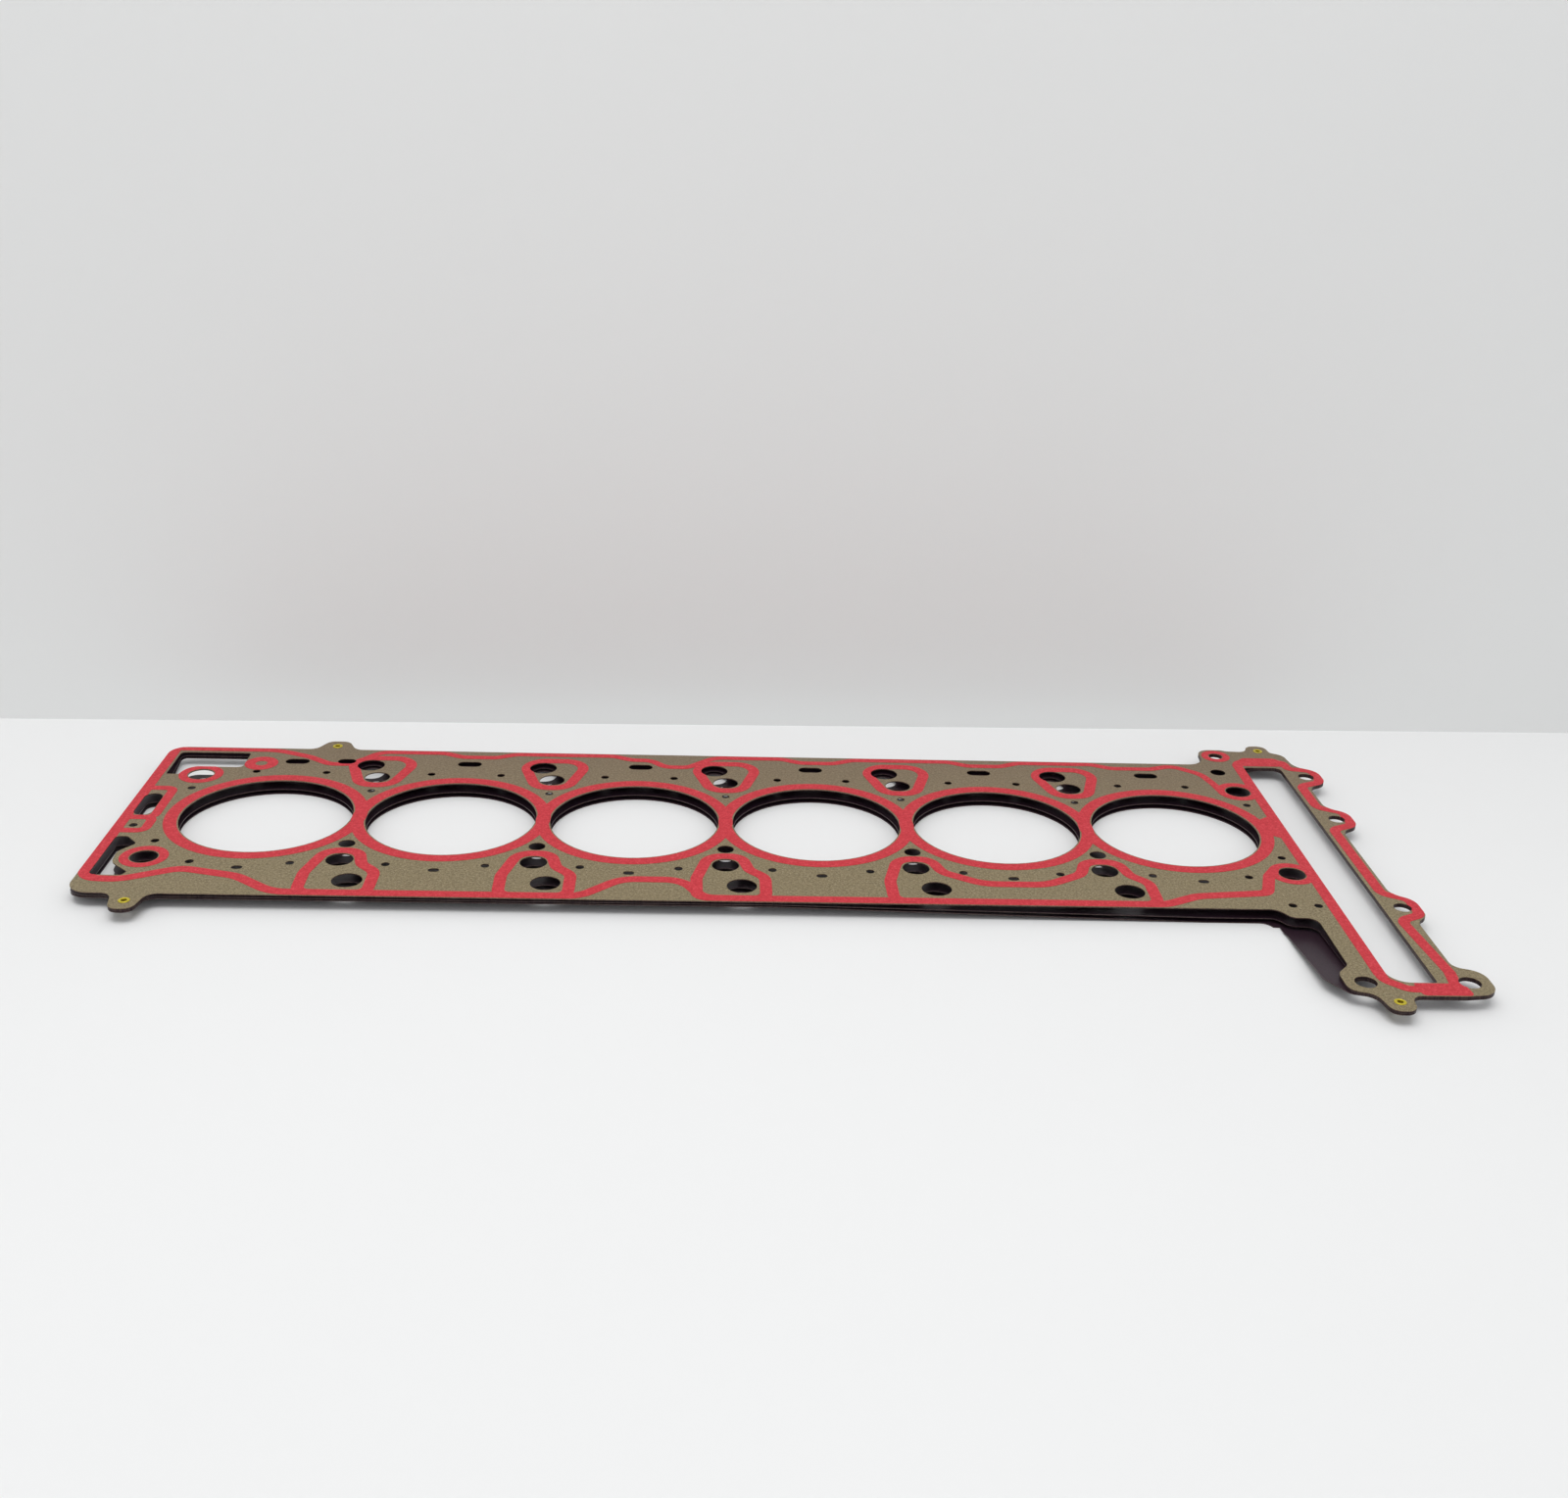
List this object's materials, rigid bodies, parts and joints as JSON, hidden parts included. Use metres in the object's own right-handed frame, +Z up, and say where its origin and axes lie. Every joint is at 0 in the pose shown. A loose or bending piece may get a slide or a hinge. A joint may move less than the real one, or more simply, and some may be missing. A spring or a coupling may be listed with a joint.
{
  "type": "cylinder head gasket",
  "caption": "Flat multi-layer steel head gasket for an inline engine with a timing chain case, three fanned sheets joined by eyelets, with a printed sealing bead.",
  "frame": {"origin": "centre of the head bolt pattern, on the surface that the gasket lies on", "axes": "+X along the row of bores towards the chain case, +Y across the row, +Z up out of the printed face"},
  "size_m": [0.6199, 0.2847, 0.0078],
  "materials": {
    "tan_coated_steel": "satin anti-stick coating with a fine speckle",
    "black_coated_steel": "satin black rubber coating, bare at the punched edges",
    "red_elastomer": "matt screen-printed elastomer",
    "eyelet_brass": "plain rolled brass"
  },
  "bodies": {
    "root": {"top_sheet": "tan_coated_steel", "middle_sheet": "black_coated_steel", "bottom_sheet": "black_coated_steel", "sealing_bead": "red_elastomer", "eyelet_front_left": "eyelet_brass", "eyelet_back_left": "eyelet_brass", "eyelet_back_right": "eyelet_brass", "eyelet_front_right": "eyelet_brass"}
  },
  "joints": []
}
